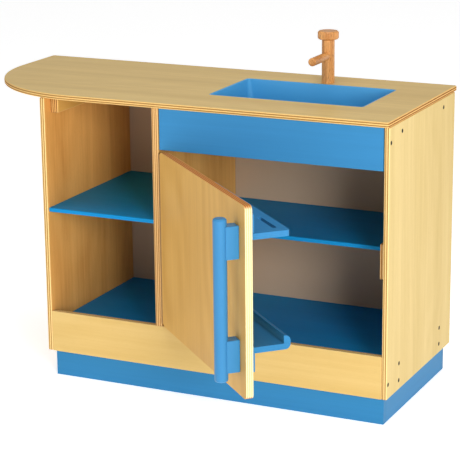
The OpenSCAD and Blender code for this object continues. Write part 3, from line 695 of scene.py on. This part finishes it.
# node, material, axes, edge easing in millimetres, seed
eased_board("worktop", ply_top, "xyz", 3.2, 0.1, on_worktop_rim, 4)
eased_board("left_side_panel", ply_left, "zyx", 2.6, 0.2)
eased_board("right_side_panel", ply_side, "zyx", 2.6, 0.3)
eased_board("divider_panel", ply_divider, "zyx", 3.0, 0.4)
eased_board("front_rail", ply_rail, "xzy", 1.6, 0.5)
eased_board("left_batten", ply_batten, "yzx", 2.5, 0.6)
eased_board("divider_batten", ply_batten, "yzx", 2.5, 0.7)
eased_board("right_batten", ply_batten, "yzx", 2.5, 0.8)
eased_board("fascia_batten", ply_batten, "xzy", 2.5, 0.9)
eased_board("door_stop", ply_stop_painted_shade, "zyx", 1.5, 1.0)
eased_board("back_panel", back_board, "zxy", 0.5, 1.1)
eased_board("floor_board", blue_floor, "xyz", 0.5, 1.2)
eased_board("fascia_panel", blue_12, "xzy", 1.0, 1.3)
eased_board("left_shelf", blue_shelf, "xyz", 1.6, 1.4)
eased_board("cupboard_shelf", blue_shelf, "xyz", 1.6, 1.5)
for count, node in enumerate(("plinth_front", "plinth_back", "plinth_left", "plinth_right",
                              "plinth_stretcher")):
    along = "xzy" if node in ("plinth_front", "plinth_back") else "yzx"
    eased_board(node, blue_15, along, 0.6, 1.6 + count * 0.1)

# ---------------------------------------------------------------- sink


def rounded_ring(cx, cy, half_w, half_d, r, steps=8):
    points = []
    for k, (sx, sy) in enumerate(((1, 1), (-1, 1), (-1, -1), (1, -1))):
        for s in range(steps + 1):
            a = math.radians(90 * (k + s / steps))
            points.append((cx + sx * (half_w - r) + r * math.cos(a),
                           cy + sy * (half_d - r) + r * math.sin(a)))
    return points


def lofted(rings):
    """A closed skin over (points, z) rings with a cap at each end."""
    bm = bmesh.new()
    loops = [[bm.verts.new((x, y, z)) for x, y in pts] for pts, z in rings]
    for a, b in zip(loops, loops[1:]):
        n = len(a)
        for i in range(n):
            bm.faces.new((a[i], a[(i + 1) % n], b[(i + 1) % n], b[i]))
    bm.faces.new(loops[0])
    bm.faces.new(loops[-1])
    bmesh.ops.remove_doubles(bm, verts=bm.verts, dist=1e-6)
    bmesh.ops.recalc_face_normals(bm, faces=bm.faces)
    return bm


top_z = sink_hi.z
low_z = sink_lo.z
flange_top = worktop_lo.z
flange = 8.3 * MM
sink_cx, sink_cy = (sink_lo.x + sink_hi.x) / 2, (sink_lo.y + sink_hi.y) / 2
rim_w, rim_d = (sink_hi.x - sink_lo.x) / 2 - flange, (sink_hi.y - sink_lo.y) / 2 - flange


def sink_ring(inset, z, r):
    return rounded_ring(sink_cx, sink_cy, rim_w - inset, rim_d - inset, r), z


def quarter_turn(steps):
    return [math.radians(90 * i / steps) for i in range(steps + 1)]


def basin_rings():
    """Rings from the basin's floor up its wall, over the lip, round the flange and back below."""
    wall = 3 * MM
    lean = 7 * MM
    fillet = 22 * MM
    lip = 2 * MM
    flange_low = flange_top - 3 * MM
    floor_corner, foot_corner, rim_corner = 22 * MM, 18 * MM, 6.5 * MM
    lip_corner, outer_corner = 7 * MM, 7.7 * MM
    flange_corner, under_corner = 15.5 * MM, 20 * MM
    floor_z = low_z + wall
    depth = top_z - floor_z
    rings = [sink_ring(wall + lean + fillet * 1.6, floor_z, 14 * MM)]
    for i, a in enumerate(quarter_turn(8)):
        rings.append(sink_ring(wall + lean + fillet * (1 - math.sin(a)),
                               floor_z + fillet * (1 - math.cos(a)),
                               floor_corner - (floor_corner - foot_corner) * i / 8))
    for i in range(1, 9):
        f = i / 8
        rings.append(sink_ring(wall + lean * (1 - f),
                               floor_z + fillet + (depth - fillet - lip) * f,
                               foot_corner - (foot_corner - rim_corner) * f))
    for a in quarter_turn(4)[1:]:
        rings.append(sink_ring(wall - 1.5 * MM * (1 - math.cos(a)),
                               top_z - lip + lip * math.sin(a), lip_corner))
    rings.append(sink_ring(0.4 * MM, top_z, 7.5 * MM))
    rings.append(sink_ring(0, top_z - 0.4 * MM, outer_corner))
    rings.append(sink_ring(0, flange_top, outer_corner))
    rings.append(sink_ring(-flange, flange_top, flange_corner))
    rings.append(sink_ring(-flange, flange_low, flange_corner))
    rings.append(sink_ring(0, flange_low, outer_corner))
    for a in quarter_turn(6):
        rings.append(sink_ring(lean + fillet * (1 - math.cos(a)),
                               low_z + (fillet + wall) * (1 - math.sin(a)), under_corner))
    return rings


finish_piece(lofted(basin_rings()), "moulded_basin", "sink_basin", sink_plastic,
             smooth=50)

# ---------------------------------------------------------------- tap


def turned(node, name, axis, ease, seed):
    """A turned beech part with its outward corners eased by so many millimetres."""
    bm = cleaned_copy(node)
    edges = [e for e in bm.edges if is_corner(e, 0.55) and e.is_convex]
    bmesh.ops.bevel(bm, geom=edges, offset=ease * MM, offset_type="OFFSET", segments=2,
                    profile=0.5, affect="EDGES", clamp_overlap=True)
    others = [a for a in "xyz" if a != axis]
    finish_piece(bm, name, node, beech_wood, axis + others[0] + others[1], seed)


turned("tap_post", "turned_post", "z", 0.5, 2.2)
turned("tap_spout", "dowel_spout", "y", 0.4, 2.6)
turned("tap_knob", "fluted_knob", "z", 0.8, 3.1)

# ---------------------------------------------------------------- door

door_lo, door_hi = upright_box("door_panel")


def on_door_rim(p):
    near = 11 * MM
    return min(abs(p.x - door_lo.x), abs(p.x - door_hi.x),
               abs(p.z - door_lo.z), abs(p.z - door_hi.z)) < near


def everywhere(p):
    return True


eased_board("door_panel", ply_door, "zxy", 2.6, 3.3, on_door_rim)
eased_board("door_shelf_strip", blue_12, "xzy", 2.0, 3.5)
eased_board("door_tray_strip", blue_12, "xzy", 2.0, 3.6)
eased_board("door_shelf", blue_12, "xyz", 2.0, 3.7, everywhere)
eased_board("door_tray", blue_15, "xyz", 1.2, 3.8)
for node in ("handle_block_upper", "handle_block_lower"):
    eased_board(node, painted_wood, "zxy", 1.6, 3.9)


def turned_profile(points, sides=48):
    """Closed turned shape about +Z from (radius, height) points, bottom middle to top middle."""
    bm = bmesh.new()
    bottom = bm.verts.new((0, 0, points[0][1]))
    top = bm.verts.new((0, 0, points[-1][1]))
    rings = []
    for r, z in points:
        rings.append([bm.verts.new((r * math.cos(2 * math.pi * i / sides),
                                    r * math.sin(2 * math.pi * i / sides), z))
                      for i in range(sides)])
    for i in range(sides):
        j = (i + 1) % sides
        bm.faces.new((bottom, rings[0][j], rings[0][i]))
        bm.faces.new((top, rings[-1][i], rings[-1][j]))
        for a, b in zip(rings, rings[1:]):
            bm.faces.new((a[i], a[j], b[j], b[i]))
    bmesh.ops.recalc_face_normals(bm, faces=bm.faces)
    return bm


def handle_bar():
    """Painted dowel with softened ends."""
    lo, hi = upright_box("handle_bar")
    r, length, soft = (hi.x - lo.x) / 2, hi.z - lo.z, 5 * MM
    points = [(r - soft + soft * math.sin(a), soft - soft * math.cos(a)) for a in quarter_turn(6)]
    points += [(r, length * i / 12) for i in range(1, 12)]
    points += [(r - soft + soft * math.cos(a), length - soft + soft * math.sin(a))
               for a in quarter_turn(6)]
    bm = turned_profile(points)
    bm.transform(Matrix.Translation(((lo.x + hi.x) / 2, (lo.y + hi.y) / 2, lo.z)))
    finish_piece(bm, "handle_dowel", "handle_bar", painted_wood, "zxy", 4.1)


handle_bar()

# ---------------------------------------------------------------- fixings

screws = screw_tree()
for node in ("left_panel_screws", "right_panel_screws", "batten_screws", "worktop_screws",
             "handle_screws"):
    drive_screws(screws, node, head_radius=4.5 * MM, shank_radius=2 * MM)
for node in ("sink_screws", "strip_screws", "hinge_fixed_screws", "hinge_door_screws",
             "door_stop_screws"):
    drive_screws(screws, node, head_radius=2.5 * MM, shank_radius=1.5 * MM)
paint("tap_screw", dark_screw)
for node in ("hinge_fixed_leaf", "hinge_door_leaf", "hinge_pin"):
    paint(node, bronze)
paint("tap_washer", zinc)

# ---------------------------------------------------------------- room, light, camera

FLOOR_REACH = 8.0
CAMERA_AT = Vector((1634.2, -3541.4, 1399.9)) * MM
# radians: turned to the left, tipped down, leaning
CAMERA_YAW, CAMERA_PITCH, CAMERA_ROLL = 0.4428, 0.2680, -0.0104
CAMERA_SENSOR = 36.0
CAMERA_LENS = 144.5087


def pale_floor():
    s = FLOOR_REACH
    mesh = bpy.data.meshes.new("studio_floor")
    mesh.from_pydata([(-s, -s, 0), (s, -s, 0), (s, s, 0), (-s, s, 0)], [], [(0, 1, 2, 3)])
    floor = bpy.data.objects.new("studio_floor", mesh)
    bpy.context.scene.collection.objects.link(floor)
    material, _, shader = new_material("floor_white")
    shader.inputs["Base Color"].default_value = (0.93, 0.93, 0.93, 1)
    shader.inputs["Roughness"].default_value = 0.8
    shader.inputs["Emission Color"].default_value = (1, 1, 1, 1)
    shader.inputs["Emission Strength"].default_value = 0.6
    mesh.materials.append(material)


def pale_surround():
    """White low down, like a paper sweep, and softer overhead."""
    world = bpy.data.worlds.new("studio")
    world.use_nodes = True
    tree = world.node_tree
    background = tree.nodes["Background"]
    sep = tree.nodes.new("ShaderNodeSeparateXYZ")
    tree.links.new(tree.nodes.new("ShaderNodeTexCoord").outputs["Generated"], sep.inputs[0])
    tree.links.new(ramp(tree, sep.outputs["Z"], [(0.13, 1.0), (0.22, 0.36)]),
                   background.inputs["Color"])
    background.inputs["Strength"].default_value = 1.0
    bpy.context.scene.world = world


def area_light(name, at, target, size, power, glints):
    """A soft box aimed at the target. Without glints it has no mirror image in glossy faces."""
    data = bpy.data.lights.new(name, "AREA")
    data.shape = "RECTANGLE"
    data.size, data.size_y = size
    data.energy = power
    light = bpy.data.objects.new(name, data)
    light.location = at
    light.rotation_mode = "QUATERNION"
    light.rotation_quaternion = (Vector(target) - Vector(at)).to_track_quat("-Z", "Y")
    light.visible_glossy = glints
    bpy.context.scene.collection.objects.link(light)


def camera():
    data = bpy.data.cameras.new("camera")
    data.sensor_width = CAMERA_SENSOR
    data.lens = CAMERA_LENS
    data.clip_end = 60.0
    cam = bpy.data.objects.new("camera", data)
    yaw, pitch, roll = CAMERA_YAW, CAMERA_PITCH, CAMERA_ROLL
    forward = Vector((-math.sin(yaw) * math.cos(pitch), math.cos(yaw) * math.cos(pitch),
                      -math.sin(pitch)))
    right = Vector((math.cos(yaw), math.sin(yaw), 0))
    up = right.cross(forward)
    level_right = right * math.cos(roll) + up * math.sin(roll)
    level_up = up * math.cos(roll) - right * math.sin(roll)
    turn = Matrix((level_right, level_up, -forward)).transposed()
    cam.rotation_mode = "QUATERNION"
    cam.rotation_quaternion = turn.to_quaternion()
    cam.location = CAMERA_AT
    bpy.context.scene.collection.objects.link(cam)
    bpy.context.scene.camera = cam


bpy.context.scene.view_settings.view_transform = "Standard"
pale_floor()
pale_surround()
area_light("key_right", at=(2.8, -3.2, 1.6), target=(0.05, 0, 0.35), size=(1.1, 1.1),
           power=70, glints=False)
area_light("fill_low", at=(2.6, -3.3, 0.75), target=(0, 0, 0.35), size=(1.0, 0.8),
           power=38, glints=False)
area_light("overhead", at=(0.2, -0.4, 3.6), target=(0, 0, 0.6), size=(2.0, 2.0),
           power=30, glints=True)
camera()

bpy.context.view_layer.update()
